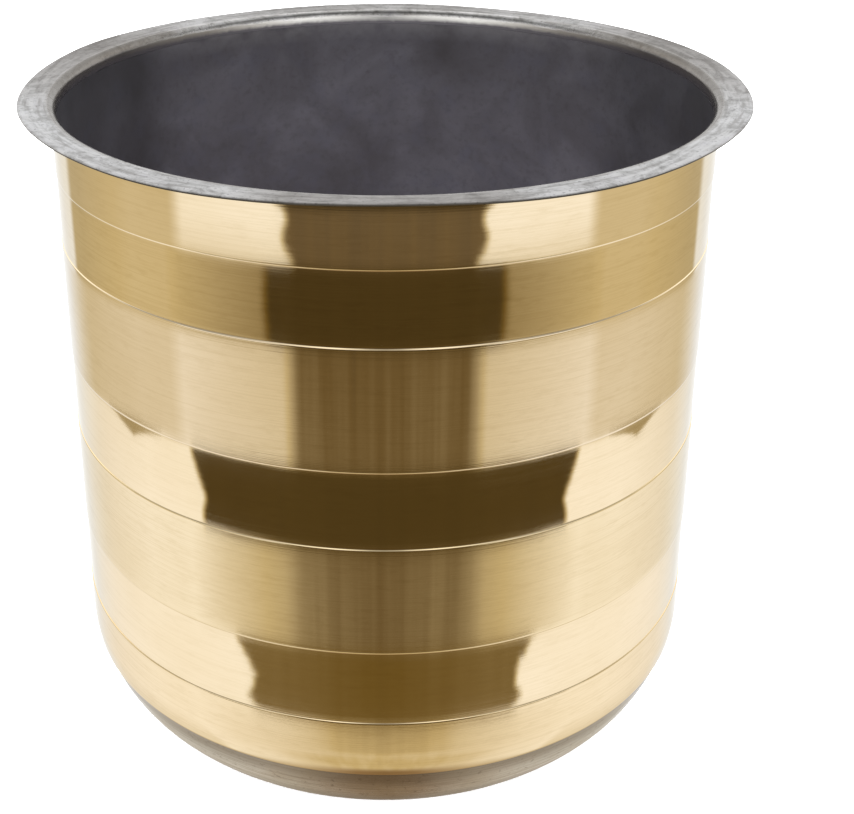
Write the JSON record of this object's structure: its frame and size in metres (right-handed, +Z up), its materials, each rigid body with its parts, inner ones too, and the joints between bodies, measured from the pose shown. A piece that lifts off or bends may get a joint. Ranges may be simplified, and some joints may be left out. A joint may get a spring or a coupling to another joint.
{
  "type": "planter pot",
  "caption": "Round brass planter pot with polished and brushed hoops, a flat grey rim flange, a dark coated liner and a bare steel base.",
  "frame": {"origin": "centre of the flat face that the pot stands on", "axes": "+Z up along the pot's turning axis; X and Y level, all round the same; -Y is the side seen from the front"},
  "size_m": [0.33, 0.33, 0.297],
  "materials": {
    "galvanised_steel": "mottled galvanised, scratched",
    "dark_coating": "matte charcoal coating",
    "bare_steel": "bare, brushed round the turn",
    "brushed_brass": "satin, brushed",
    "polished_brass": "polished, fine hairlines"
  },
  "bodies": {
    "root": {"rim_flange": "galvanised_steel", "inner_liner": "dark_coating", "steel_shell": "bare_steel", "brass_band_1": "brushed_brass", "brass_band_2": "polished_brass", "brass_band_3": "brushed_brass", "brass_band_4": "polished_brass", "brass_band_5": "brushed_brass", "brass_band_6": "polished_brass", "brass_band_7": "brushed_brass"}
  },
  "joints": []
}
